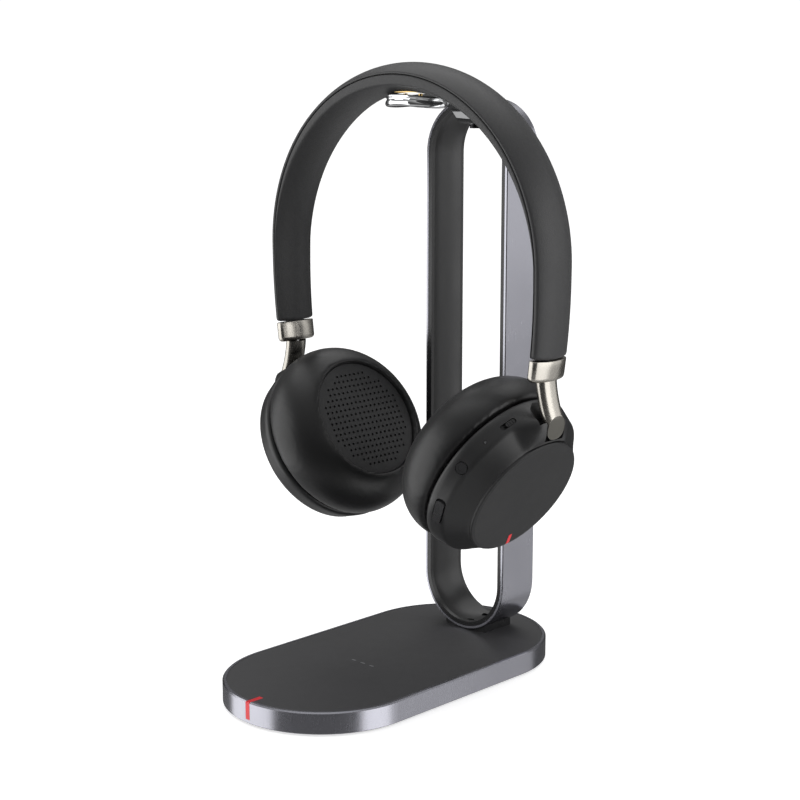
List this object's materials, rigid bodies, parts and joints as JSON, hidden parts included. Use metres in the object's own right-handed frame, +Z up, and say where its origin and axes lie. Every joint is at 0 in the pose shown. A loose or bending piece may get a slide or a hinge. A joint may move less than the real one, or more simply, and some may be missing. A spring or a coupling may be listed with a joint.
{
  "type": "office headset",
  "caption": "On-ear wireless office headset with a padded arch, sliding and swivelling ear cups and a stowed microphone boom, on a loop-shaped charging stand with a flat base.",
  "frame": {"origin": "middle of the stand's base, on the table", "axes": "+X from the left ear cup to the right one, -Y the front of the stand with the red tag, +Z up"},
  "size_m": [0.1494, 0.1528, 0.2452],
  "materials": {
    "foot_rubber": "matte",
    "base_plastic": "moulded, matte",
    "gunmetal": "anodised, satin",
    "soft_black": "soft-touch, matte",
    "plain_steel": "plain",
    "copper_wire": "enamelled copper",
    "ferrite": "sintered, dull",
    "circuit_board": "solder mask",
    "inlet_steel": "plated",
    "red_accent": "satin",
    "light_pipe": "translucent white",
    "screw_steel": "plated",
    "loop_black": "satin",
    "bright_chrome": "polished",
    "gold_contact": "plated",
    "sleeve_leatherette": "fine grain, satin",
    "pad_leatherette": "fine grain, matte",
    "satin_nickel": "satin, warm",
    "battery_foil": "foil pouch",
    "control_plastic": "satin",
    "cup_plastic": "soft-touch, satin",
    "plate_plastic": "soft-touch, matte",
    "driver_metal": "stamped",
    "cushion_leatherette": "smooth, satin",
    "perforated_cloth": "perforated sheet"
  },
  "bodies": {
    "stand": {"foot_pad": "foot_rubber", "base_floor": "base_plastic", "base_band": "gunmetal", "base_top": "soft_black", "base_weight": "plain_steel", "charging_coil": "copper_wire", "coil_shield": "ferrite", "base_board": "circuit_board", "usb_inlet": "inlet_steel", "base_tag": "red_accent", "indicator_leds": "light_pipe", "base_screws": "screw_steel", "loop_foot": "loop_black", "loop_band": "gunmetal", "loop_lining_strip": "loop_black", "loop_bolts": "screw_steel", "cradle": "bright_chrome", "cradle_screws": "screw_steel", "contact_pins": "gold_contact"},
    "headband": {"headband_cover": "sleeve_leatherette", "headband_pad": "pad_leatherette", "band_spring": "plain_steel", "band_contacts": "gold_contact", "left_ferrule": "satin_nickel", "right_ferrule": "satin_nickel", "left_slide_guide": "base_plastic", "right_slide_guide": "base_plastic"},
    "left_stem": {"left_stem": "plain_steel"},
    "right_stem": {"right_stem": "plain_steel"},
    "left_arm": {"left_arm": "satin_nickel", "left_tilt_pin": "screw_steel"},
    "right_arm": {"right_arm": "satin_nickel", "right_tilt_pin": "screw_steel"},
    "left_cup": {"battery": "battery_foil", "left_housing": "cup_plastic", "left_outer_plate": "plate_plastic", "left_baffle": "base_plastic", "left_driver": "driver_metal", "left_cushion_ring": "base_plastic", "left_cushion": "cushion_leatherette", "left_speaker_cloth": "perforated_cloth", "left_cup_screws": "screw_steel"},
    "right_cup": {"main_board": "circuit_board", "status_light": "light_pipe", "right_housing": "cup_plastic", "right_outer_plate": "plate_plastic", "right_baffle": "base_plastic", "right_driver": "driver_metal", "right_cushion_ring": "base_plastic", "right_cushion": "cushion_leatherette", "right_speaker_cloth": "perforated_cloth", "right_cup_screws": "screw_steel"},
    "boom": {"mic_boom": "control_plastic", "boom_tip": "red_accent"},
    "power_switch": {"power_switch": "control_plastic"},
    "call_button": {"call_button": "control_plastic"},
    "volume_rocker": {"volume_rocker": "control_plastic"}
  },
  "joints": [
    {"name": "headset_lift", "type": "slide", "parent": "stand", "child": "headband", "axis": [0, -0.8, 0.6], "range_m": [0, 0.1]},
    {"name": "right_extend", "type": "slide", "parent": "headband", "child": "right_stem", "axis": [-0.0872, 0, -0.9962], "range_m": [0, 0.018]},
    {"name": "left_extend", "type": "slide", "parent": "headband", "child": "left_stem", "axis": [0.0872, 0, -0.9962], "range_m": [0, 0.018]},
    {"name": "right_swivel", "type": "hinge", "parent": "right_stem", "child": "right_arm", "pos_m": [0.06905, 0.013, 0.1333], "axis": [0.0872, 0, 0.9962], "range_deg": [-3, 90]},
    {"name": "left_swivel", "type": "hinge", "parent": "left_stem", "child": "left_arm", "pos_m": [-0.06905, 0.013, 0.1333], "axis": [0.0872, 0, -0.9962], "range_deg": [-3, 90]},
    {"name": "right_tilt", "type": "hinge", "parent": "right_arm", "child": "right_cup", "pos_m": [0.072, 0.013, 0.1122], "axis": [0, -1, 0], "range_deg": [0, 25]},
    {"name": "left_tilt", "type": "hinge", "parent": "left_arm", "child": "left_cup", "pos_m": [-0.072, 0.013, 0.1122], "axis": [0, 1, 0], "range_deg": [0, 25]},
    {"name": "boom_slide", "type": "slide", "parent": "right_cup", "child": "boom", "axis": [-0.49, 0.184, -0.8521], "range_m": [0, 0.034]},
    {"name": "switch_slide", "type": "slide", "parent": "right_cup", "child": "power_switch", "axis": [-0.234, -0.8829, -0.407], "range_m": [0, 0.0024]},
    {"name": "button_press", "type": "slide", "parent": "right_cup", "child": "call_button", "axis": [-0.3969, 0.9018, -0.1711], "range_m": [0, 0.0006], "stiffness_N_per_m": 300},
    {"name": "rocker_tilt", "type": "hinge", "parent": "right_cup", "child": "volume_rocker", "pos_m": [0.04455, -0.01821, 0.08112], "axis": [0.8708, 0.25, -0.4234], "range_deg": [-3, 3], "stiffness_Nm_per_rad": 0.02}
  ]
}
